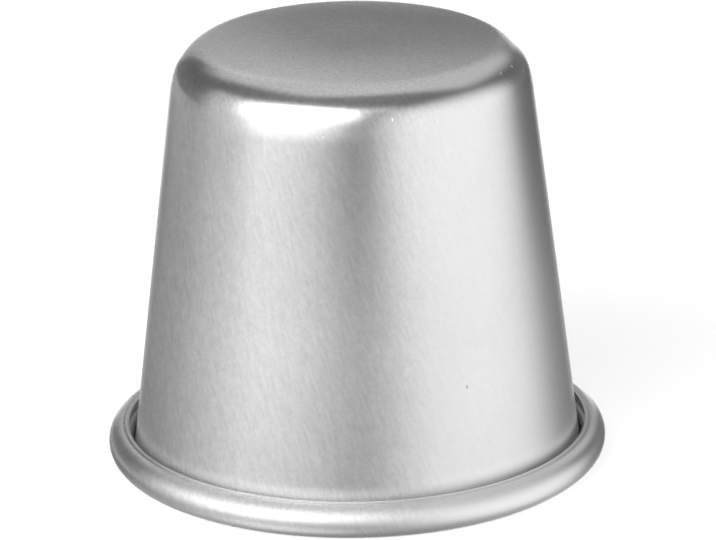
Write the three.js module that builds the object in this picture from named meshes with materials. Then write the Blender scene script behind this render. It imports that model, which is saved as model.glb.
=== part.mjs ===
// Baba mould: a tapered cup drawn from one aluminium sheet, with its rim rolled outward over a wire.
// Millimetres, +Z up. The mould stands mouth down on its rim, with its closed base on top.
// The origin is the middle of the plane that the rim stands on.

import * as THREE from "three";

// Driving dimensions of the cup
const HEIGHT = 60.9; // from the plane under the rim to the top of the base
const RIM_DIAMETER = 70; // over the rolled rim
const BASE_DIAMETER = 48.4; // where the slope of the wall would meet the level of the rounded corner's top
const BASE_CORNER_RADIUS = 6; // outside of the rounded corner
const BASE_CROWN_RISE = 0.9; // how far the crowned base rises above that level
const BASE_FLAT_DIAMETER = 8; // flat in the middle of the base
const SHEET_THICKNESS = 1.2;

// Driving dimensions of the rolled rim
const WIRE_DIAMETER = 2.1;
const WIRE_CLEARANCE = 0.2; // all round the wire, inside the roll
const WIRE_END_GAP = 0.8; // between the butted ends of the wire
const LIP_GAP = 1.1; // between the cut lip of the roll and the wall
const RIM_LAND_WIDTH = 0.8; // narrow flat that the rim stands on

// Facets
const TURN_SEGMENTS = 64;
const CROWN_STEPS = 4;
const CORNER_STEPS = 6;
const ROLL_STEP = Math.PI / 10;
const WIRE_SIDES = 12;

// Sizes that follow from the driving dimensions
const rollCavityRadius = WIRE_DIAMETER / 2 + WIRE_CLEARANCE;
const rollRadius = rollCavityRadius + SHEET_THICKNESS;
const landHalfAngle = Math.asin(RIM_LAND_WIDTH / 2 / rollRadius);
const rollCentre = new THREE.Vector2(RIM_DIAMETER / 2 - rollRadius, rollRadius * Math.cos(landHalfAngle));

// The outer face of the wall is the line through the base edge that touches the cavity of the roll.
const baseEdge = new THREE.Vector2(BASE_DIAMETER / 2, HEIGHT - BASE_CROWN_RISE);
const rollToBase = baseEdge.clone().sub(rollCentre);
const draft = Math.acos(rollCavityRadius / rollToBase.length()) - Math.atan2(rollToBase.y, -rollToBase.x);

// The corner touches both the level of its top and the wall.
const cornerReach = BASE_CORNER_RADIUS * Math.tan((Math.PI / 2 - draft) / 2);
const cornerCentre = new THREE.Vector2(baseEdge.x - cornerReach, baseEdge.y - BASE_CORNER_RADIUS);

// The crown of the base touches the flat in its middle and the corner.
const crownReach = cornerCentre.x - BASE_FLAT_DIAMETER / 2;
const crownToCorner = (crownReach ** 2 + BASE_CROWN_RISE ** 2) / (2 * BASE_CROWN_RISE);
const crownRadius = crownToCorner + BASE_CORNER_RADIUS;
const crownCentre = new THREE.Vector2(BASE_FLAT_DIAMETER / 2, HEIGHT - crownRadius);
const crownEnd = Math.acos(crownReach / crownToCorner);

// Points along an arc of a section, both ends included. Angles run from the outward direction towards +Z.
function arc(centre, radius, from, to, steps) {
  return Array.from({ length: steps + 1 }, (_, step) => {
    const angle = from + ((to - from) * step) / steps;
    return new THREE.Vector2(centre.x + radius * Math.cos(angle), centre.y + radius * Math.sin(angle));
  });
}

// Points along an arc of the roll, in steps of about ROLL_STEP.
function rollArc(radius, from, to) {
  return arc(rollCentre, radius, from, to, Math.ceil(Math.abs(to - from) / ROLL_STEP));
}

// Radius of the outer face of the wall at a height.
function wallRadius(z) {
  return baseEdge.x + (baseEdge.y - z) * Math.tan(draft);
}

// One face of the base, from its middle over the crown and the corner to the wall, at a depth below the outer
// face of the sheet.
function baseFace(depth) {
  return [
    new THREE.Vector2(0, HEIGHT - depth),
    ...arc(crownCentre, crownRadius - depth, Math.PI / 2, crownEnd, CROWN_STEPS),
    ...arc(cornerCentre, BASE_CORNER_RADIUS - depth, crownEnd, draft, CORNER_STEPS).slice(1),
  ];
}

// Angle at which the roll is cut off, so that its lip keeps the stated gap to the wall.
function lipAngle() {
  const lipRadius = wallRadius(rollCentre.y + rollRadius) + LIP_GAP;
  return 2 * Math.PI + Math.acos((lipRadius - rollCentre.x) / rollRadius);
}

// Section of the sheet: down the inner face of the cup, over the outside of the roll to its lip,
// back through the inside of the roll and up the outer face.
function sheetSection() {
  const rollStart = Math.PI + draft;
  const rollEnd = lipAngle();
  const down = 1.5 * Math.PI;
  const outward = 2 * Math.PI;
  return [
    ...baseFace(SHEET_THICKNESS),
    ...rollArc(rollRadius, rollStart, down - landHalfAngle),
    ...rollArc(rollRadius, down + landHalfAngle, outward),
    ...rollArc(rollRadius, outward, rollEnd).slice(1),
    ...rollArc(rollCavityRadius, rollEnd, rollStart),
    ...baseFace(0).reverse(),
  ];
}

// The path of the wire: almost a full turn inside the roll.
class WirePath extends THREE.Curve {
  getPoint(t, target = new THREE.Vector3()) {
    const endAngle = WIRE_END_GAP / 2 / rollCentre.x;
    const angle = endAngle + t * 2 * (Math.PI - endAngle);
    return target.set(rollCentre.x * Math.cos(angle), rollCentre.x * Math.sin(angle), rollCentre.y);
  }
}

// The cup with its rolled rim, one sheet all over.
function mouldShell() {
  const geometry = new THREE.LatheGeometry(sheetSection(), TURN_SEGMENTS);
  const material = new THREE.MeshStandardMaterial({ color: 0xcfcfd0, roughness: 0.34, metalness: 1 });
  const mesh = new THREE.Mesh(geometry, material);
  mesh.name = "mould_shell";
  mesh.rotation.x = Math.PI / 2;
  return mesh;
}

// The wire ring inside the roll, with its two ends butted.
function rimWire() {
  const section = new THREE.Shape().absarc(0, 0, WIRE_DIAMETER / 2, 0, 2 * Math.PI);
  const geometry = new THREE.ExtrudeGeometry(section, {
    curveSegments: WIRE_SIDES / 2,
    steps: TURN_SEGMENTS,
    extrudePath: new WirePath(),
  });
  const material = new THREE.MeshStandardMaterial({ color: 0x6f7072, roughness: 0.6, metalness: 1 });
  const mesh = new THREE.Mesh(geometry, material);
  mesh.name = "rim_wire";
  return mesh;
}

const babaMould = new THREE.Group();
babaMould.add(mouldShell(), rimWire());

export default babaMould;
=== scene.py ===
"""Looks of a baba mould: a satin aluminium cup with a rolled rim, mouth down on a pale floor."""

import logging
import math
from dataclasses import dataclass
from enum import Enum

import bmesh
import bpy
from mathutils import Matrix, Vector


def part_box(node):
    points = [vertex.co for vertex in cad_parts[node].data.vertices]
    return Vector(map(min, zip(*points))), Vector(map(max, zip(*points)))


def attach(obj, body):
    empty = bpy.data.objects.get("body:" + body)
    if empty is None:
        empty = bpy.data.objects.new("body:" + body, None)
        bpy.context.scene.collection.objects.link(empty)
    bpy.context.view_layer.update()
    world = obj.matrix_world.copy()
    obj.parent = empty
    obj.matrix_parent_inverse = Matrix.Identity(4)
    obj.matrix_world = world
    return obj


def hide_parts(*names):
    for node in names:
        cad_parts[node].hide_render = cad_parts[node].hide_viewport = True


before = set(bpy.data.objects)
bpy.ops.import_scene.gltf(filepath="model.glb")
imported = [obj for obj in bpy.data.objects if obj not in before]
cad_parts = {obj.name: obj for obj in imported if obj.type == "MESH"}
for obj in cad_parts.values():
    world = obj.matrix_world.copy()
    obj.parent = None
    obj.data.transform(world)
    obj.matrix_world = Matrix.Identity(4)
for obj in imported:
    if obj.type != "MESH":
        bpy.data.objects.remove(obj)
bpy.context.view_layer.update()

MM = 0.001
MICROMETRE = 1e-6
PHOTO_WIDTH = 716
NOISE_MIDDLE = 0.5
MERGE_DISTANCE = 0.001 * MM
ORIGIN = (0.0, 0.0, 0.0)
UP = (0.0, 0.0, 1.0)
WHITE = (1.0, 1.0, 1.0, 1.0)

Socket = bpy.types.NodeSocket
Colour = tuple[float, float, float, float]
Span = tuple[float, float]

log = logging.getLogger("baba_mould")


class Node(Enum):
    """The solids of the frame that the pieces here stand for."""

    SHELL = "mould_shell"
    WIRE = "rim_wire"


class Slot(Enum):
    """The record's material slots."""

    SHELL = "satin_aluminium"
    WIRE = "dull_wire"


class MarkKind(Enum):
    """What a small mark does to the sheet."""

    NICK = "nick"
    PIT = "pit"


@dataclass
class ShaderGraph:
    """Adds shader nodes to one tree and joins them.

    Attributes:
        tree: The node tree of a material, a light or a world.
    """

    tree: bpy.types.NodeTree

    def add(self, kind: str, inputs: dict | None = None, **settings: object) -> bpy.types.Node:
        """Adds a node, sets its properties and feeds its inputs.

        Args:
            kind: Blender's name of the node type.
            inputs: Value or output socket for each named or numbered input.
            **settings: Properties of the node.

        Returns:
            The new node.
        """
        node = self.tree.nodes.new(kind)
        for name, value in settings.items():
            setattr(node, name, value)
        for key, value in (inputs or {}).items():
            if isinstance(value, Socket):
                self.tree.links.new(value, node.inputs[key])
            else:
                node.inputs[key].default_value = value
        return node

    def math(self, operation: str, *values: Socket | float) -> Socket:
        """Returns the result of a Math node over the given values or sockets."""
        return self.add("ShaderNodeMath", dict(enumerate(values)), operation=operation).outputs[0]

    def sum(self, *terms: tuple[Socket, float]) -> Socket:
        """Returns the sum of some sockets, each times its factor."""
        total: Socket | float = 0.0
        for value, factor in terms:
            total = self.math("MULTIPLY_ADD", value, factor, total)
        return total

    def stretch(self, vector: Socket, x: float, y: float, z: float) -> Socket:
        """Returns a vector with its parts scaled."""
        inputs = {0: vector, 1: (x, y, z)}
        return self.add("ShaderNodeVectorMath", inputs, operation="MULTIPLY").outputs["Vector"]

    def length(self, vector: Socket) -> Socket:
        """Returns the length of a vector."""
        return self.add("ShaderNodeVectorMath", {0: vector}, operation="LENGTH").outputs["Value"]

    def from_axis(self, place: Socket) -> Socket:
        """Returns the distance of a place from the axis of the mould."""
        return self.length(self.stretch(place, 1.0, 1.0, 0.0))

    def turn(self, vector: Socket, angle: Socket | float) -> Socket:
        """Returns a vector turned about the axis of the mould."""
        inputs = {"Vector": vector, "Angle": angle}
        return self.add("ShaderNodeVectorRotate", inputs, rotation_type="Z_AXIS").outputs["Vector"]

    def noise(self, vector: Socket, scale: float, detail: float = 2.0) -> Socket:
        """Returns the value of a Noise Texture, about 0 to 1.

        Args:
            vector: Where the noise is read.
            scale: Waves per metre.
            detail: Finer octaves.

        Returns:
            The noise.
        """
        inputs = {"Vector": vector, "Scale": scale, "Detail": detail}
        return self.add("ShaderNodeTexNoise", inputs).outputs["Fac"]

    def ramp(
        self,
        value: Socket,
        start: float,
        end: float,
        low: Socket | float = 0.0,
        high: Socket | float = 1.0,
    ) -> Socket:
        """Returns a value carried smoothly from one range to another.

        Args:
            value: Socket to read.
            start: Value that gives low.
            end: Value that gives high.
            low: Result at start and before it.
            high: Result at end and after it.

        Returns:
            The mapped value.
        """
        inputs = {"Value": value, "From Min": start, "From Max": end, "To Min": low, "To Max": high}
        return self.add("ShaderNodeMapRange", inputs, interpolation_type="SMOOTHSTEP").outputs["Result"]

    def blend(self, share: Socket, first: Socket | Colour, second: Socket | Colour) -> Socket:
        """Returns a colour mixed from two.

        Args:
            share: Share of the second colour, kept between 0 and 1.
            first: Colour at 0.
            second: Colour at 1.

        Returns:
            The mixed colour.
        """
        inputs = {"Factor": share, "A": first, "B": second}
        return self.add("ShaderNodeMix", inputs, data_type="RGBA").outputs["Result"]

    def metal(self, colour: Socket, roughness: Socket, relief: Socket) -> None:
        """Dresses the tree's Principled shader as bare metal.

        Args:
            colour: Reflection colour.
            roughness: Roughness.
            relief: Height of the surface in micrometres.
        """
        bump = self.add("ShaderNodeBump", {"Height": relief, "Distance": MICROMETRE})
        shader = self.tree.nodes["Principled BSDF"]
        shader.inputs["Metallic"].default_value = 1.0
        self.tree.links.new(colour, shader.inputs["Base Color"])
        self.tree.links.new(roughness, shader.inputs["Roughness"])
        self.tree.links.new(bump.outputs["Normal"], shader.inputs["Normal"])


@dataclass(frozen=True)
class Mark:
    """A small mark on the sheet.

    Attributes:
        kind: What it does.
        place: Its middle, in millimetres.
        radius: Half its width, in millimetres.
        tall: How many times taller than wide it is.
    """

    kind: MarkKind
    place: tuple[float, float, float]
    radius: float
    tall: float = 1.0

    def mask(self, graph: ShaderGraph, place: Socket) -> Socket:
        """Returns a value that rises from 0 round the mark to 1 in its middle.

        Args:
            graph: Graph of the material.
            place: Object coordinates.

        Returns:
            The mask.
        """
        middle = tuple(MM * value for value in self.place)
        away = graph.add("ShaderNodeVectorMath", {0: place, 1: middle}, operation="SUBTRACT")
        squeezed = graph.stretch(away.outputs["Vector"], 1.0, 1.0, 1.0 / self.tall)
        return graph.ramp(graph.length(squeezed), self.radius * MM, 0.0)


@dataclass(frozen=True)
class SheetPatterns:
    """What the finish of the sheet is mixed from, as sockets of one graph.

    Attributes:
        place: Object coordinates.
        across: Place from left to right.
        depth: Place from front to back.
        height: Height above the floor.
        rim: 1 on the rim.
        wall: 1 on the wall.
        base: 1 on the base.
        crease: 1 in the crease along the lip.
        scuffs: Fine scuffs that lean across the wall.
        grain: Fine grain.
        dust: Grain at the limit of what the eye sees.
        blotches: Coarse grain.
        patches: Broad dull patches.
        nick: 1 in the nicks.
        pit: 1 in the pits.
    """

    place: Socket
    across: Socket
    depth: Socket
    height: Socket
    rim: Socket
    wall: Socket
    base: Socket
    crease: Socket
    scuffs: Socket
    grain: Socket
    dust: Socket
    blotches: Socket
    patches: Socket
    nick: Socket
    pit: Socket


@dataclass(frozen=True)
class SheetZones:
    """Where the finish of the sheet changes: the places from which and to which each change runs.

    Attributes:
        rim: Heights, from the wall to the rim.
        base: Heights, from the corner to the base.
        corner: Heights, from the wall to the corner, which is rubbed smooth.
        wall: Heights, from the smooth top of the wall to its rough foot.
        foot: Heights, from the wall to its foot, which is darker.
        fold: Heights, from the wall to the rough stretch beside the lip.
        clean: Heights, from the wall to the stretch at the right front where a highlight is painted
            into the colour.
        highlight_side: Places across, from the middle to that stretch.
        highlight_front: Places in depth, from the rear to that stretch.
        lip: Heights, from the lower front of the rim to its lip.
        rim_front: Places in depth, from the sides of the rim to its front.
        rim_left: Places across, from the even rim to its mottled left.
        wall_left: Places across, from the even wall to its mottled left.
        worn: Places across, from the lightly scuffed right to the scuffed left.
        lip_edge: Places out from the crease, from the wall's side of the gap to the lip.
        crease: Distances off the crease, from no painted shade to full painted shade.
    """

    rim: Span = (5.6 * MM, 5.2 * MM)
    base: Span = (59.3 * MM, 60.0 * MM)
    corner: Span = (54.0 * MM, 57.5 * MM)
    wall: Span = (56.0 * MM, 20.0 * MM)
    foot: Span = (20.0 * MM, 8.0 * MM)
    fold: Span = (6.6 * MM, 5.2 * MM)
    # Stretch at the right front where a highlight is painted into the colour.
    clean: Span = (7.7 * MM, 5.2 * MM)
    highlight_side: Span = (4.0 * MM, 14.0 * MM)
    highlight_front: Span = (-4.0 * MM, -14.0 * MM)
    lip: Span = (1.2 * MM, 4.3 * MM)
    rim_front: Span = (-12.0 * MM, -28.0 * MM)
    rim_left: Span = (-18.0 * MM, -30.0 * MM)
    wall_left: Span = (-8.0 * MM, -24.0 * MM)
    worn: Span = (14.0 * MM, 4.0 * MM)
    lip_edge: Span = (-1.4 * MM, -1.1 * MM)
    crease: Span = (0.22 * MM, 0.06 * MM)


@dataclass(frozen=True)
class SheetWaves:
    """Sizes of the patterns on the sheet, most of them as waves per metre.

    Attributes:
        scuffs: Waves of the scuffs round the wall.
        scuff_rise: Share of these waves that is left up the wall.
        scuff_twist: Turn of the scuffs about the axis for each metre up the wall.
        dashes: Waves of the short scratches on the base.
        dash_length: Share of these waves that is left along a scratch.
        dash_edge: Values of the waves at which a scratch begins and is full.
        dash_turns: Directions of the scratches, in degrees.
        specks: Cells of the tiny dents.
        speck_lot: Lots of a cell at which it begins to get a dent and has all of it.
        speck_radius: Radius of a dent, as a share of its cell.
        grain: Waves of the fine grain.
        dust: Waves of the finest grain.
        blotches: Waves of the coarse grain.
        patches: Waves of the broad patches.
        ticks: Waves of the faint lines across the rim, for each radian round it.
    """

    scuffs: float = 2200.0
    scuff_rise: float = 0.16
    scuff_twist: float = 12.0
    dashes: float = 1500.0
    dash_length: float = 0.14
    dash_edge: Span = (0.66, 0.78)
    dash_turns: tuple[float, ...] = (15.0, 75.0, 140.0)
    specks: float = 260.0
    speck_lot: Span = (0.6, 0.65)
    speck_radius: float = 0.05
    grain: float = 2000.0
    dust: float = 4000.0
    blotches: float = 800.0
    patches: float = 130.0
    ticks: float = 70.0


@dataclass(frozen=True)
class SheetRelief:
    """Heights of the fine relief of the sheet, in micrometres.

    Attributes:
        scuffs: Scuffs on the wall.
        wall_grain: Fine grain on the wall.
        base_grain: Fine grain on the base.
        base_dust: Finest grain on the base.
        base_dashes: Short scratches on the base.
        rim_blotches: Coarse grain on the rim, from its even parts to its left.
        rim_ticks: Faint lines across the rim.
        specks: Tiny dents.
        nick: Nicks.
        pit: Pits.
    """

    scuffs: float = 6.0
    wall_grain: float = 2.5
    base_grain: float = 5.0
    base_dust: float = 6.0
    base_dashes: float = 4.0
    rim_blotches: Span = (4.0, 45.0)
    rim_ticks: float = 12.0
    specks: float = -10.0
    nick: float = -60.0
    pit: float = -40.0


@dataclass(frozen=True)
class SheetRoughness:
    """Roughness of the parts of the sheet.

    Attributes:
        wall: Wall, from its top to its foot.
        corner: Corner.
        base: Base.
        fold: Wall beside the lip.
        rim: Front of the rim, from near the floor to its lip.
        rear: Sides and rear of the rim.
        patches: How far the roughness varies in broad patches.
        nick: How much rougher a nick is.
    """

    wall: Span = (0.29, 0.4)
    corner: float = 0.21
    base: float = 0.29
    fold: float = 0.55
    rim: Span = (0.42, 0.6)
    rear: float = 0.33
    patches: float = 0.02
    nick: float = 0.3


@dataclass(frozen=True)
class SheetShades:
    """Weights of what turns the sheet from dull to bright, a painted highlight among them, and of the
    painted shade in the crease and the darker pits.

    Attributes:
        middle: Share of the bright metal where nothing else counts.
        scuffs: Scuffs.
        grain: Fine grain.
        wall_wear: How much these two show on the wall, from right to left.
        base_wear: How much they show on the base.
        wall_mottle: Coarse grain on the wall, from its even parts to its left.
        rim_mottle: Coarse grain on the rim, from its even parts to its left.
        dust: Finest grain on the base.
        patches: Broad patches.
        foot: Darkening towards the foot of the wall.
        clean: Painted highlight at the right front of the rim and of the wall's foot.
        painted_crease_shade: Shade painted into the crease along the lip.
        pit_darkening: Darkening of the pits.
    """

    middle: float = 0.35
    scuffs: float = 1.0
    grain: float = 0.9
    wall_wear: Span = (0.3, 1.0)
    base_wear: float = 1.2
    wall_mottle: Span = (0.15, 1.0)
    rim_mottle: Span = (0.0, 1.2)
    dust: float = 2.2
    patches: float = 0.3
    foot: float = -0.12
    # Weight of the highlight painted at the right front.
    clean: float = 0.5
    painted_crease_shade: float = 0.22
    pit_darkening: float = 0.8


@dataclass(frozen=True)
class SatinAluminium:
    """Softly polished aluminium sheet: scuffs that lean on the wall, grain on the base, a mottled rim.

    Attributes:
        crease_radius: From the axis to the crease along the lip.
        dull: Reflection colour where the sheet is worn dull.
        bright: Reflection colour where it is bright and unworn, and of the highlight painted at the
            right front.
        shade_and_pit_colour: Reflection colour of the shade painted in the crease and of the darker
            pits.
        zones: Where the finish changes.
        waves: Sizes of the patterns.
        heights: Heights of the fine relief.
        rough: Roughness of the parts.
        shades: Weights of what makes the metal dull or bright, of its painted highlight and painted
            shade, and of its darker pits.
        marks: Nicks and pits from use.
    """

    crease_radius: float
    dull: Colour = (0.765, 0.765, 0.765, 1.0)
    bright: Colour = (0.965, 0.965, 0.965, 1.0)
    shade_and_pit_colour: Colour = (0.25, 0.25, 0.25, 1.0)
    zones: SheetZones = SheetZones()
    waves: SheetWaves = SheetWaves()
    heights: SheetRelief = SheetRelief()
    rough: SheetRoughness = SheetRoughness()
    shades: SheetShades = SheetShades()
    marks: tuple[Mark, ...] = (
        Mark(MarkKind.NICK, (21.64, -7.84, 58.35), 0.4),
        Mark(MarkKind.NICK, (20.04, -11.21, 58.41), 0.35),
        Mark(MarkKind.NICK, (23.34, -5.89, 57.03), 0.3),
        Mark(MarkKind.NICK, (5.32, -23.87, 56.13), 0.13, 8.0),
        Mark(MarkKind.PIT, (14.92, -25.22, 18.53), 0.25, 1.5),
    )

    def scuffs(self, graph: ShaderGraph, place: Socket, height: Socket) -> Socket:
        """Returns fine scuffs that lean across the wall.

        Args:
            graph: Graph of the material.
            place: Object coordinates.
            height: Height above the floor.

        Returns:
            The scuffs, about 0 to 1.
        """
        twisted = graph.turn(place, graph.math("MULTIPLY", height, self.waves.scuff_twist))
        drawn_out = graph.stretch(twisted, 1.0, 1.0, self.waves.scuff_rise)
        return graph.noise(drawn_out, self.waves.scuffs, detail=1.0)

    def dashes(self, graph: ShaderGraph, place: Socket) -> Socket:
        """Returns sparse short scratches in a few directions on the base.

        Args:
            graph: Graph of the material.
            place: Object coordinates.

        Returns:
            The scratches, 0 to 1.
        """
        sets = []
        for degrees in self.waves.dash_turns:
            turned = graph.turn(place, math.radians(degrees))
            drawn_out = graph.stretch(turned, 1.0, self.waves.dash_length, 1.0)
            lines = graph.noise(drawn_out, self.waves.dashes, detail=0.0)
            sets.append((graph.ramp(lines, *self.waves.dash_edge), 1.0))
        return graph.sum(*sets)

    def specks(self, graph: ShaderGraph, place: Socket) -> Socket:
        """Returns a few tiny dents.

        Args:
            graph: Graph of the material.
            place: Object coordinates.

        Returns:
            The dents, 0 to 1.
        """
        cells = graph.add("ShaderNodeTexVoronoi", {"Vector": place, "Scale": self.waves.specks})
        lot = graph.add("ShaderNodeSeparateColor", {0: cells.outputs["Color"]}).outputs[0]
        kept = graph.ramp(lot, *self.waves.speck_lot)
        dent = graph.ramp(cells.outputs["Distance"], self.waves.speck_radius, 0.0)
        return graph.math("MULTIPLY", dent, kept)

    def marked(self, graph: ShaderGraph, place: Socket, kind: MarkKind) -> Socket:
        """Returns the masks of all marks of a kind, added up.

        Args:
            graph: Graph of the material.
            place: Object coordinates.
            kind: Kind of mark.

        Returns:
            The mask.
        """
        return graph.sum(*((mark.mask(graph, place), 1.0) for mark in self.marks if mark.kind is kind))

    def patterns(self, graph: ShaderGraph) -> SheetPatterns:
        """Returns what the finish is mixed from.

        Args:
            graph: Graph of the material.

        Returns:
            The patterns.
        """
        zones, waves = self.zones, self.waves
        place = graph.add("ShaderNodeTexCoord").outputs["Object"]
        parts = graph.add("ShaderNodeSeparateXYZ", {"Vector": place}).outputs
        past_crease = graph.math("SUBTRACT", graph.from_axis(place), self.crease_radius)
        past_gap = graph.ramp(past_crease, *zones.lip_edge)
        rim = graph.math("MULTIPLY", graph.ramp(parts["Z"], *zones.rim), past_gap)
        base = graph.ramp(parts["Z"], *zones.base)
        in_crease = graph.ramp(graph.math("ABSOLUTE", past_crease), *zones.crease)
        return SheetPatterns(
            place=place,
            across=parts["X"],
            depth=parts["Y"],
            height=parts["Z"],
            rim=rim,
            wall=graph.math("SUBTRACT", graph.math("SUBTRACT", 1.0, rim), base),
            base=base,
            crease=graph.math("MULTIPLY", in_crease, rim),
            scuffs=self.scuffs(graph, place, parts["Z"]),
            grain=graph.noise(place, waves.grain),
            dust=graph.noise(place, waves.dust, detail=1.0),
            blotches=graph.noise(place, waves.blotches),
            patches=graph.noise(place, waves.patches, detail=3.0),
            nick=self.marked(graph, place, MarkKind.NICK),
            pit=self.marked(graph, place, MarkKind.PIT),
        )

    def relief(self, graph: ShaderGraph, on: SheetPatterns) -> Socket:
        """Returns the height of the surface in micrometres.

        Args:
            graph: Graph of the material.
            on: Patterns of the sheet.

        Returns:
            The height.
        """
        heights = self.heights
        level = graph.stretch(on.place, 1.0, 1.0, 0.0)
        outward = graph.add("ShaderNodeVectorMath", {0: level}, operation="NORMALIZE").outputs["Vector"]
        ticks = graph.math("MULTIPLY", graph.noise(outward, self.waves.ticks), heights.rim_ticks)
        coarse = graph.ramp(on.across, *self.zones.rim_left, *heights.rim_blotches)
        rim = graph.math("MULTIPLY_ADD", on.blotches, coarse, ticks)
        wall = graph.sum((on.scuffs, heights.scuffs), (on.grain, heights.wall_grain))
        base = graph.sum(
            (on.grain, heights.base_grain),
            (on.dust, heights.base_dust),
            (self.dashes(graph, on.place), heights.base_dashes),
        )
        relief = graph.math("MULTIPLY", on.wall, wall)
        relief = graph.math("MULTIPLY_ADD", on.base, base, relief)
        relief = graph.math("MULTIPLY_ADD", on.rim, rim, relief)
        return graph.sum(
            (relief, 1.0),
            (self.specks(graph, on.place), heights.specks),
            (on.nick, heights.nick),
            (on.pit, heights.pit),
        )

    def roughness(self, graph: ShaderGraph, on: SheetPatterns) -> Socket:
        """Returns the roughness, which is a little uneven in broad patches.

        Args:
            graph: Graph of the material.
            on: Patterns of the sheet.

        Returns:
            The roughness.
        """
        zones, rough = self.zones, self.rough
        wall = graph.ramp(on.height, *zones.wall, *rough.wall)
        corner = graph.ramp(on.height, *zones.corner, wall, rough.corner)
        body = graph.ramp(on.base, 0.0, 1.0, corner, rough.base)
        body = graph.ramp(on.height, *zones.fold, body, rough.fold)
        front = graph.ramp(on.height, *zones.lip, *rough.rim)
        rim = graph.ramp(on.depth, *zones.rim_front, rough.rear, front)
        smooth = graph.ramp(on.rim, 0.0, 1.0, body, rim)
        uneven = graph.math("SUBTRACT", on.patches, NOISE_MIDDLE)
        return graph.sum((smooth, 1.0), (uneven, rough.patches), (on.nick, rough.nick))

    def colour(self, graph: ShaderGraph, on: SheetPatterns) -> Socket:
        """Returns the reflection colour, which is most uneven on the left of the wall and of the rim.

        Args:
            graph: Graph of the material.
            on: Patterns of the sheet.

        Returns:
            The colour.
        """
        zones, shades = self.zones, self.shades
        wear = graph.ramp(on.across, *zones.worn, *shades.wall_wear)
        wear = graph.ramp(on.base, 0.0, 1.0, wear, shades.base_wear)
        texture = graph.sum((on.scuffs, shades.scuffs), (on.grain, shades.grain))
        texture = graph.math("SUBTRACT", texture, NOISE_MIDDLE * (shades.scuffs + shades.grain))
        wall_mottle = graph.ramp(on.across, *zones.wall_left, *shades.wall_mottle)
        rim_mottle = graph.ramp(on.across, *zones.rim_left, *shades.rim_mottle)
        mottle = graph.ramp(on.rim, 0.0, 1.0, wall_mottle, rim_mottle)
        blotches = graph.math("SUBTRACT", on.blotches, NOISE_MIDDLE)
        dust = graph.math("SUBTRACT", on.dust, NOISE_MIDDLE)
        foot = graph.ramp(on.height, *zones.foot)
        # Painted highlight: the colour is made brighter at the right front of the rim and of the wall's
        # foot, where the right light falls.
        right = graph.ramp(on.across, *zones.highlight_side)
        lit_right_front = graph.ramp(on.depth, *zones.highlight_front, 0.0, right)
        shade = graph.sum(
            (graph.math("MULTIPLY", texture, wear), 1.0),
            (graph.math("MULTIPLY", blotches, mottle), 1.0),
            (graph.math("MULTIPLY", dust, on.base), shades.dust),
            (on.patches, shades.patches),
            (graph.math("MULTIPLY", foot, on.wall), shades.foot),
            (graph.ramp(on.height, *zones.clean, 0.0, lit_right_front), shades.clean),
        )
        metal = graph.blend(graph.math("ADD", shade, shades.middle), self.dull, self.bright)
        # Painted shade darkens the crease along the lip; the pits are darkened too.
        shade_and_pit = graph.sum((on.crease, shades.painted_crease_shade), (on.pit, shades.pit_darkening))
        return graph.blend(shade_and_pit, metal, self.shade_and_pit_colour)

    def material(self) -> bpy.types.Material:
        """Returns the node material of the sheet."""
        material = bpy.data.materials.new("satin_aluminium")
        material.use_nodes = True
        graph = ShaderGraph(material.node_tree)
        on = self.patterns(graph)
        graph.metal(self.colour(graph, on), self.roughness(graph, on), self.relief(graph, on))
        return material


@dataclass(frozen=True)
class DullWire:
    """Drawn wire that has dulled inside the roll, with faint lines along it.

    Attributes:
        dark: Reflection colour of the tarnished lines.
        light: Reflection colour between them.
        roughness: Middle roughness of the drawn surface.
        uneven: How far its roughness varies.
        line_waves: Waves of the drawn lines per metre across the wire.
        tarnish_waves: Waves of the tarnish per metre.
        line_share: Share of the lines in the mix of the two colours, the rest being tarnish.
        line_height: Height of the lines in micrometres.
        tarnish_height: Height of the tarnish in micrometres.
    """

    dark: Colour = (0.42, 0.42, 0.43, 1.0)
    light: Colour = (0.66, 0.66, 0.66, 1.0)
    roughness: float = 0.45
    uneven: float = 0.2
    line_waves: float = 4000.0
    tarnish_waves: float = 300.0
    line_share: float = 0.5
    line_height: float = 8.0
    tarnish_height: float = 10.0

    def material(self) -> bpy.types.Material:
        """Returns the node material of the wire."""
        material = bpy.data.materials.new("dull_wire")
        material.use_nodes = True
        graph = ShaderGraph(material.node_tree)
        place = graph.add("ShaderNodeTexCoord").outputs["Object"]
        height = graph.add("ShaderNodeSeparateXYZ", {"Vector": place}).outputs["Z"]
        section = graph.add("ShaderNodeCombineXYZ", {"X": graph.from_axis(place), "Z": height})
        lines = graph.noise(section.outputs["Vector"], self.line_waves)
        tarnish = graph.noise(place, self.tarnish_waves, detail=3.0)
        shade = graph.sum((lines, self.line_share), (tarnish, 1.0 - self.line_share))
        varied = graph.math("SUBTRACT", tarnish, NOISE_MIDDLE)
        roughness = graph.math("MULTIPLY_ADD", varied, self.uneven, self.roughness)
        relief = graph.sum((lines, self.line_height), (tarnish, self.tarnish_height))
        graph.metal(graph.blend(shade, self.dark, self.light), roughness, relief)
        return material


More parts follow.
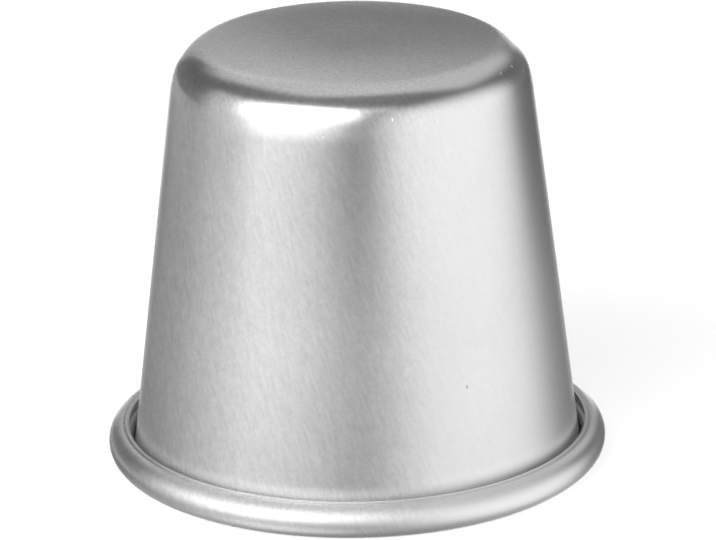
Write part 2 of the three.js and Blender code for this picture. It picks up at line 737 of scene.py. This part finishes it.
@dataclass
class SectionPen:
    """Draws a section in the XZ plane as a chain of edges.

    Attributes:
        bm: The mesh that takes the chain.
        tip: The last vertex drawn.
    """

    bm: bmesh.types.BMesh
    tip: bmesh.types.BMVert

    @classmethod
    def start(cls, bm: bmesh.types.BMesh, r: float, z: float) -> "SectionPen":
        """Returns a pen set down at a radius and a height."""
        return cls(bm, bm.verts.new((r, 0.0, z)))

    def line(self, r: float, z: float, steps: int = 1) -> None:
        """Draws a straight stretch.

        Args:
            r: Radius of its end.
            z: Height of its end.
            steps: Edges along it.
        """
        step = (Vector((r, 0.0, z)) - self.tip.co) / steps
        for _ in range(steps):
            self.tip = bmesh.ops.extrude_vert_indiv(self.bm, verts=[self.tip])["verts"][0]
            self.tip.co += step

    def arc(self, r: float, z: float, angle: float, steps: int) -> None:
        """Draws an arc round a centre.

        Args:
            r: Radius of the centre.
            z: Height of the centre.
            angle: Angle turned, positive from the axis direction +Z towards the outside.
            steps: Edges along it.
        """
        turned = bmesh.ops.spin(
            self.bm, geom=[self.tip], cent=(r, 0.0, z), axis=(0.0, 1.0, 0.0), angle=angle, steps=steps
        )
        self.tip = next(item for item in turned["geom_last"] if isinstance(item, bmesh.types.BMVert))


def finished_object(bm: bmesh.types.BMesh, name: str, material: bpy.types.Material) -> bpy.types.Object:
    """Makes a smooth-shaded object at the origin of a finished mesh.

    Args:
        bm: The mesh, which is freed.
        name: Name of the object.
        material: Its one material.

    Returns:
        The object, linked to the scene.
    """
    mesh = bpy.data.meshes.new(name)
    bm.to_mesh(mesh)
    bm.free()
    mesh.shade_smooth()
    mesh.materials.append(material)
    piece = bpy.data.objects.new(name, mesh)
    bpy.context.scene.collection.objects.link(piece)
    return piece


@dataclass(frozen=True)
class SectionSteps:
    """Edges along each stretch of the shell's section.

    Attributes:
        flat: Flat in the middle of the base.
        crown: Crown of the base.
        corner: Rounded corner.
        blend: Arc by which the corner runs out.
        wall: Wall.
        hollow: Hollow of the roll.
        lip: Each straight side of the lip and of the groove.
        lip_round: Rounded edge of the lip.
        strip: Strip along the lip.
        roll: Outside of the roll.
        mouth: Inner face from the wall to the land.
    """

    flat: int = 2
    crown: int = 14
    corner: int = 28
    blend: int = 8
    wall: int = 24
    hollow: int = 40
    lip: int = 3
    lip_round: int = 8
    strip: int = 6
    roll: int = 48
    mouth: int = 16


@dataclass
class MouldShell:
    """The cup: crowned base, rounded corner, tapered wall and rolled rim, one sheet all over.

    Attributes:
        height: From the plane under the rim to the top of the base.
        rim_radius: Outside of the roll.
        base_radius: Where the slope of the wall would meet the level of the corner's top.
        corner_radius: Rounded corner between base and wall.
        blend_radius: Wider arc by which the corner runs out into the wall.
        blend_angle: Angle of that arc.
        crown_rise: How far the crowned base rises above that level.
        flat_radius: Flat in the middle of the base.
        sheet: Thickness of the sheet.
        roll_cavity: Radius of the hollow inside the roll.
        lip_gap: Between the lip of the roll and the wall.
        lip_round: Radius of the lip's edge.
        lip_strip: Width of the raised strip along the lip.
        lip_rise: How far the strip stands above the rest of the roll.
        groove_width: Width of the groove beside the strip.
        groove_depth: Depth of that groove below the roll.
        land: Width of the narrow flat that the rim stands on.
        steps: Edges along the section.
        turns: Faces round the axis.
    """

    height: float
    rim_radius: float
    base_radius: float = 24.2 * MM
    corner_radius: float = 5.8 * MM
    blend_radius: float = 30.0 * MM
    blend_angle: float = math.radians(5.0)
    crown_rise: float = 0.9 * MM
    flat_radius: float = 4.0 * MM
    sheet: float = 1.2 * MM
    roll_cavity: float = 1.25 * MM
    lip_gap: float = 1.1 * MM
    lip_round: float = 0.14 * MM
    lip_strip: float = 0.42 * MM
    lip_rise: float = 0.08 * MM
    groove_width: float = 0.34 * MM
    groove_depth: float = 0.09 * MM
    land: float = 0.8 * MM
    steps: SectionSteps = SectionSteps()
    turns: int = 288

    @property
    def base_level(self) -> float:
        """Level that the rounded corner would touch."""
        return self.height - self.crown_rise

    @property
    def roll(self) -> float:
        """Outer radius of the roll."""
        return self.roll_cavity + self.sheet

    @property
    def land_half_angle(self) -> float:
        """Half the angle of the roll that its flat cuts off."""
        return math.asin(self.land / 2 / self.roll)

    @property
    def roll_centre(self) -> tuple[float, float]:
        """Radius and height of the middle of the roll."""
        return self.rim_radius - self.roll, self.roll * math.cos(self.land_half_angle)

    @property
    def draft(self) -> float:
        """Slope of the wall, whose outer face touches the cavity of the roll."""
        r, z = self.roll_centre
        across, up = r - self.base_radius, self.base_level - z
        return math.acos(self.roll_cavity / math.hypot(across, up)) - math.atan2(up, across)

    def wall_radius(self, z: float) -> float:
        """Returns the radius of the wall's outer face at a height."""
        return self.base_radius + (self.base_level - z) * math.tan(self.draft)

    @property
    def corner_centre(self) -> tuple[float, float]:
        """Radius and height of the middle of the rounded corner."""
        reach = self.corner_radius * math.tan((math.pi / 2 - self.draft) / 2)
        blend_shift = (self.blend_radius - self.corner_radius) * (1 - math.cos(self.blend_angle))
        inset = blend_shift / math.cos(self.draft)
        return self.base_radius - reach - inset, self.base_level - self.corner_radius

    @property
    def blend_centre(self) -> tuple[float, float]:
        """Radius and height of the middle of the arc between corner and wall."""
        r, z = self.corner_centre
        away = self.blend_radius - self.corner_radius
        slope = self.draft + self.blend_angle
        return r - away * math.cos(slope), z - away * math.sin(slope)

    @property
    def lip_angle(self) -> float:
        """Angle of the roll's cut lip, from the outside over the top."""
        r, z = self.roll_centre
        return math.acos((self.wall_radius(z + self.roll) + self.lip_gap - r) / self.roll)

    @property
    def strip_radius(self) -> float:
        """Radius of the raised strip along the lip, round the roll's middle."""
        return self.roll + self.lip_rise

    @property
    def edge_angle(self) -> float:
        """Angle at which the lip's rounded edge runs out into the strip."""
        return self.lip_angle - math.asin(self.lip_round / (self.strip_radius - self.lip_round))

    @property
    def groove_half_angle(self) -> float:
        """Half the angle that the groove takes up."""
        return self.groove_width / 2 / self.roll

    @property
    def groove_angle(self) -> float:
        """Angle of the bottom of the groove."""
        return self.edge_angle - self.lip_strip / self.strip_radius - self.groove_half_angle

    @property
    def groove_radius(self) -> float:
        """From the axis to the bottom of the groove."""
        return self.on_roll(self.roll, self.groove_angle)[0]

    def draw_cup(self, pen: SectionPen, depth: float) -> None:
        """Draws one face of the sheet from the axis down to the roll.

        Args:
            pen: Pen on the axis, at the face.
            depth: Depth of the face below the outer one.
        """
        corner_r, corner_z = self.corner_centre
        crown_reach = corner_r - self.flat_radius
        crown_to_corner = (crown_reach**2 + self.crown_rise**2) / (2 * self.crown_rise)
        crown_angle = math.asin(crown_reach / crown_to_corner)
        crown_radius = crown_to_corner + self.corner_radius
        corner_angle = math.pi / 2 - self.draft - self.blend_angle - crown_angle
        pen.line(self.flat_radius, self.height - depth, self.steps.flat)
        pen.arc(self.flat_radius, self.height - crown_radius, crown_angle, self.steps.crown)
        pen.arc(corner_r, corner_z, corner_angle, self.steps.corner)
        pen.arc(*self.blend_centre, self.blend_angle, self.steps.blend)
        r, z = self.roll_centre
        ring = self.roll_cavity + depth
        pen.line(r - ring * math.cos(self.draft), z - ring * math.sin(self.draft), self.steps.wall)

    def on_roll(self, radius: float, angle: float) -> tuple[float, float]:
        """Returns a point of the section by its radius round the roll's middle and its angle."""
        r, z = self.roll_centre
        return r + radius * math.cos(angle), z + radius * math.sin(angle)

    def draw_lip(self, pen: SectionPen) -> float:
        """Draws the cut lip: its face, its rounded edge, the strip along it and the groove beside that.

        Args:
            pen: Pen at the lip, inside the roll.

        Returns:
            Angle at which the full roll begins, from the outside over the top.
        """
        round_reach = self.strip_radius - self.lip_round
        round_turn = self.lip_angle - self.edge_angle
        groove_end = self.groove_angle - self.groove_half_angle
        steps = self.steps
        pen.line(*self.on_roll(round_reach * math.cos(round_turn), self.lip_angle), steps.lip)
        pen.arc(*self.on_roll(round_reach, self.edge_angle), math.pi / 2 + round_turn, steps.lip_round)
        pen.arc(*self.roll_centre, self.lip_strip / self.strip_radius, steps.strip)
        pen.line(*self.on_roll(self.roll - self.groove_depth, self.groove_angle), steps.lip)
        pen.line(*self.on_roll(self.roll, groove_end), steps.lip)
        return groove_end

    def build(self) -> bmesh.types.BMesh:
        """Returns the turned sheet as a closed mesh."""
        bm = bmesh.new()
        r, z = self.roll_centre
        outer = SectionPen.start(bm, 0.0, self.height)
        self.draw_cup(outer, 0.0)
        outer.arc(r, z, -(math.pi + self.lip_angle - self.draft), self.steps.hollow)
        roll_start = self.draw_lip(outer)
        outer.arc(r, z, roll_start + math.pi / 2 - self.land_half_angle, self.steps.roll)
        outer.line(r - self.land / 2, outer.tip.co.z)
        inner = SectionPen.start(bm, 0.0, self.height - self.sheet)
        self.draw_cup(inner, self.sheet)
        inner.arc(r, z, -(math.pi / 2 - self.draft - self.land_half_angle), self.steps.mouth)
        section = list(bm.verts) + list(bm.edges)
        full_turn = 2 * math.pi
        bmesh.ops.spin(
            bm, geom=section, cent=ORIGIN, axis=UP, angle=full_turn, steps=self.turns, use_merge=True
        )
        bmesh.ops.remove_doubles(bm, verts=bm.verts, dist=MERGE_DISTANCE)
        bmesh.ops.recalc_face_normals(bm, faces=bm.faces)
        return bm

    def make(self, finish: SatinAluminium) -> bpy.types.Object:
        """Builds the shell, dresses it and puts it in the frame.

        Args:
            finish: Finish of the sheet.

        Returns:
            The piece.
        """
        piece = finished_object(self.build(), "satin_shell", finish.material())
        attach(piece, "root")
        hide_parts(Node.SHELL.value)
        return piece


@dataclass
class RimWire:
    """The wire ring inside the roll, with its two ends butted.

    Attributes:
        ring_radius: From the axis to the middle of the wire.
        level: Height of the middle of the wire.
        wire_radius: Half the wire's thickness.
        end_gap: Between the two ends.
        sides: Faces round the wire.
        turns: Faces along the ring.
    """

    ring_radius: float
    level: float
    wire_radius: float = 1.05 * MM
    end_gap: float = 0.8 * MM
    sides: int = 24
    turns: int = 240

    def build(self) -> bmesh.types.BMesh:
        """Returns the ring as a closed mesh."""
        bm = bmesh.new()
        half_gap = self.end_gap / 2 / self.ring_radius
        place = (
            Matrix.Rotation(half_gap, 4, "Z")
            @ Matrix.Translation((self.ring_radius, 0.0, self.level))
            @ Matrix.Rotation(math.pi / 2, 4, "X")
        )
        bmesh.ops.create_circle(
            bm, cap_ends=False, radius=self.wire_radius, segments=self.sides, matrix=place
        )
        turn = 2 * (math.pi - half_gap)
        bmesh.ops.spin(bm, geom=bm.edges[:], cent=ORIGIN, axis=UP, angle=turn, steps=self.turns)
        ends = [edge for edge in bm.edges if edge.is_boundary]
        bmesh.ops.holes_fill(bm, edges=ends, sides=0)
        bmesh.ops.recalc_face_normals(bm, faces=bm.faces)
        return bm

    def make(self, finish: DullWire) -> bpy.types.Object:
        """Builds the wire, dresses it and puts it in the frame.

        Args:
            finish: Finish of the wire.

        Returns:
            The piece.
        """
        piece = finished_object(self.build(), "wire_ring", finish.material())
        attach(piece, "root")
        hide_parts(Node.WIRE.value)
        return piece


@dataclass(frozen=True)
class Softbox:
    """A rectangular studio light that faces the mould.

    Attributes:
        name: Name of the light.
        azimuth: Degrees to the right of the camera's side, seen from above the mould.
        elevation: Degrees above the floor.
        half_width: Half its size across, as a share of its distance.
        half_height: Half its size up, as a share of its distance.
        radiance: Brightness of its face.
        lean: Degrees that it is turned about the line to the mould, its right-hand end upward.
        fade: Share of its half size over which its edges fade out.
        distance: From the middle of the mould.
    """

    name: str
    azimuth: float
    elevation: float
    half_width: float
    half_height: float
    radiance: float
    lean: float
    fade: float
    distance: float = 1.5

    def fade_edges(self, data: bpy.types.AreaLight) -> None:
        """Makes the light fade out towards its edges.

        Args:
            data: The light.
        """
        data.use_nodes = True
        graph = ShaderGraph(data.node_tree)
        face = graph.add("ShaderNodeNewGeometry").outputs["Parametric"]
        share = graph.add("ShaderNodeSeparateXYZ", {"Vector": face}).outputs
        edges = []
        for side in ("X", "Y"):
            off_middle = graph.math("ABSOLUTE", graph.math("MULTIPLY_ADD", share[side], 2.0, -1.0))
            edges.append(graph.ramp(off_middle, 1.0, 1.0 - self.fade))
        strength = graph.math("MULTIPLY", *edges)
        data.node_tree.links.new(strength, data.node_tree.nodes["Emission"].inputs["Strength"])

    def make(self, aim: Vector) -> bpy.types.Object:
        """Puts the light in the scene.

        Args:
            aim: Point that it faces.

        Returns:
            The light's object.
        """
        turn = math.radians(self.azimuth)
        rise = math.radians(self.elevation)
        level = math.cos(rise)
        away = Vector((math.sin(turn) * level, -math.cos(turn) * level, math.sin(rise)))
        data = bpy.data.lights.new(self.name, "AREA")
        data.shape = "RECTANGLE"
        data.size = 2 * self.half_width * self.distance
        data.size_y = 2 * self.half_height * self.distance
        data.energy = self.radiance * math.pi * data.size * data.size_y
        self.fade_edges(data)
        light = bpy.data.objects.new(self.name, data)
        light.matrix_world = (
            Matrix.Translation(aim + away * self.distance)
            @ away.to_track_quat("Z", "Y").to_matrix().to_4x4()
            @ Matrix.Rotation(math.radians(self.lean), 4, "Z")
        )
        light.visible_camera = False
        bpy.context.scene.collection.objects.link(light)
        return light


@dataclass(frozen=True)
class Studio:
    """Pale floor, soft lights and a room that is lit by height.

    Attributes:
        floor_colour: Colour of the floor.
        floor_roughness: Roughness of the floor.
        floor_glow: Light that the floor gives off, as a light table does.
        floor_half: Half the side of the floor.
        backdrop: Colour of the far wall behind the floor.
        room: Degrees above the horizon and the brightness of the room there.
        lights: The soft lights.
    """

    floor_colour: Colour = (0.8, 0.8, 0.8, 1.0)
    floor_roughness: float = 0.9
    floor_glow: float = 0.58
    floor_half: float = 0.8
    backdrop: Colour = (0.95, 0.95, 0.95, 1.0)
    room: tuple[Span, ...] = (
        (-90, 0.119),
        (-40, 0.386),
        (-15, 0.099),
        (0, 0.169),
        (20, 0.114),
        (50, 0.149),
        (90, 0.21),
    )
    # Name, azimuth, elevation, half width, half height, radiance, lean and fade of each light.
    lights: tuple[Softbox, ...] = (
        Softbox("back_softbox", 168.6, 56.5, 0.909, 0.76, 0.385, 27.6, 0.5),
        Softbox("left_softbox", -38.6, 25.3, 1.032, 0.744, 2.749, 7.1, 1.0),
        Softbox("right_softbox", 66.6, 1.1, 1.816, 1.25, 0.853, -10.8, 0.76),
        Softbox("left_low_softbox", -77.0, 10.2, 0.703, 0.749, 0.384, 5.6, 0.49),
        Softbox("front_high_softbox", -35.0, 37.7, 0.765, 0.348, 1.6, 13.7, 0.55),
        Softbox("centre_high_softbox", 22.0, 46.0, 0.25, 0.22, 0.36, 0.0, 0.8),
        Softbox("back_low_softbox", 179.2, -24.5, 0.318, 0.46, 1.687, -5.8, 0.08),
        Softbox("floor_left_softbox", -47.4, -49.6, 0.531, 0.574, 0.724, 4.2, 0.63),
        Softbox("left_back_softbox", -167.2, 19.3, 0.177, 0.419, 0.251, 3.8, 0.24),
        Softbox("right_back_softbox", 166.0, 3.0, 0.13, 0.16, 0.5, 0.0, 0.5),
        Softbox("left_side_softbox", -130.4, -9.4, 0.645, 0.113, 0.278, -0.7, 0.36),
    )

    def make_floor(self) -> None:
        """Lays the floor, which the metal doesn't mirror."""
        bm = bmesh.new()
        bmesh.ops.create_grid(bm, x_segments=1, y_segments=1, size=self.floor_half)
        material = bpy.data.materials.new("pale_floor")
        material.use_nodes = True
        shader = material.node_tree.nodes["Principled BSDF"]
        shader.inputs["Base Color"].default_value = self.floor_colour
        shader.inputs["Roughness"].default_value = self.floor_roughness
        shader.inputs["Emission Color"].default_value = WHITE
        shader.inputs["Emission Strength"].default_value = self.floor_glow
        floor = finished_object(bm, "pale_floor", material)
        floor.visible_glossy = False
        floor.visible_shadow = False

    def make_room(self) -> None:
        """Lights the room by height, with a pale wall where the camera looks past the floor."""
        world = bpy.data.worlds.new("dim_room")
        world.use_nodes = True
        graph = ShaderGraph(world.node_tree)
        direction = graph.add("ShaderNodeTexCoord").outputs["Generated"]
        up = graph.add("ShaderNodeSeparateXYZ", {"Vector": direction}).outputs["Z"]
        share = graph.math("MULTIPLY_ADD", graph.math("ARCSINE", up), 1 / math.pi, 0.5)
        ramp = graph.add("ShaderNodeValToRGB", {"Fac": share})
        stops = ramp.color_ramp.elements
        stops.remove(stops[1])
        for number, (elevation, brightness) in enumerate(self.room):
            position = elevation / 180 + 0.5
            stop = stops[0] if number == 0 else stops.new(position)
            stop.position = position
            stop.color = (brightness, brightness, brightness, 1.0)
        seen = graph.add("ShaderNodeLightPath").outputs["Is Camera Ray"]
        shown = graph.blend(seen, ramp.outputs["Color"], self.backdrop)
        world.node_tree.links.new(shown, world.node_tree.nodes["Background"].inputs["Color"])
        bpy.context.scene.world = world

    def make(self, aim: Vector) -> None:
        """Puts floor, lights and room in the scene.

        Args:
            aim: Point that the lights face.
        """
        self.make_floor()
        self.make_room()
        for light in self.lights:
            light.make(aim)


@dataclass(frozen=True)
class LongLens:
    """The camera, low and far in front of the mould.

    Attributes:
        aim: Point in the middle of the picture.
        distance: From that point.
        pitch: Degrees above level.
        roll: Degrees that the mould leans to the left in the picture.
        focal_pixels: Focal length in pixels of the picture.
        near_limit: Distance before which nothing is drawn.
    """

    aim: tuple[float, float, float] = (0.4704 * MM, 0.0, 26.6368 * MM)
    distance: float = 639.2077 * MM
    pitch: float = 19.3476
    roll: float = 0.8982
    focal_pixels: float = 4582.8854
    near_limit: float = 10.0 * MM

    def make(self) -> bpy.types.Object:
        """Puts the camera in the scene and returns it."""
        data = bpy.data.cameras.new("long_lens")
        data.sensor_fit = "HORIZONTAL"
        data.lens = self.focal_pixels * data.sensor_width / PHOTO_WIDTH
        data.clip_start = self.near_limit
        rise = math.radians(self.pitch)
        back = Vector((0.0, -math.cos(rise), math.sin(rise)))
        camera = bpy.data.objects.new("long_lens", data)
        camera.matrix_world = (
            Matrix.Translation(Vector(self.aim) + back * self.distance)
            @ back.to_track_quat("Z", "Y").to_matrix().to_4x4()
            @ Matrix.Rotation(math.radians(-self.roll), 4, "Z")
        )
        bpy.context.scene.collection.objects.link(camera)
        bpy.context.scene.camera = camera
        return camera


def main() -> None:
    """Builds the mould, the studio and the camera."""
    logging.basicConfig(level=logging.INFO, format="%(name)s: %(message)s")
    _, far_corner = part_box(Node.SHELL.value)
    shell = MouldShell(height=far_corner.z, rim_radius=far_corner.x)
    log.info("made %s", shell.make(SatinAluminium(shell.groove_radius)).name)
    wire = RimWire(*shell.roll_centre)
    log.info("made %s", wire.make(DullWire()).name)
    Studio().make(Vector((0.0, 0.0, shell.height / 2)))
    LongLens().make()
    bpy.context.scene.view_settings.view_transform = "Standard"


if __name__ == "__main__":
    main()
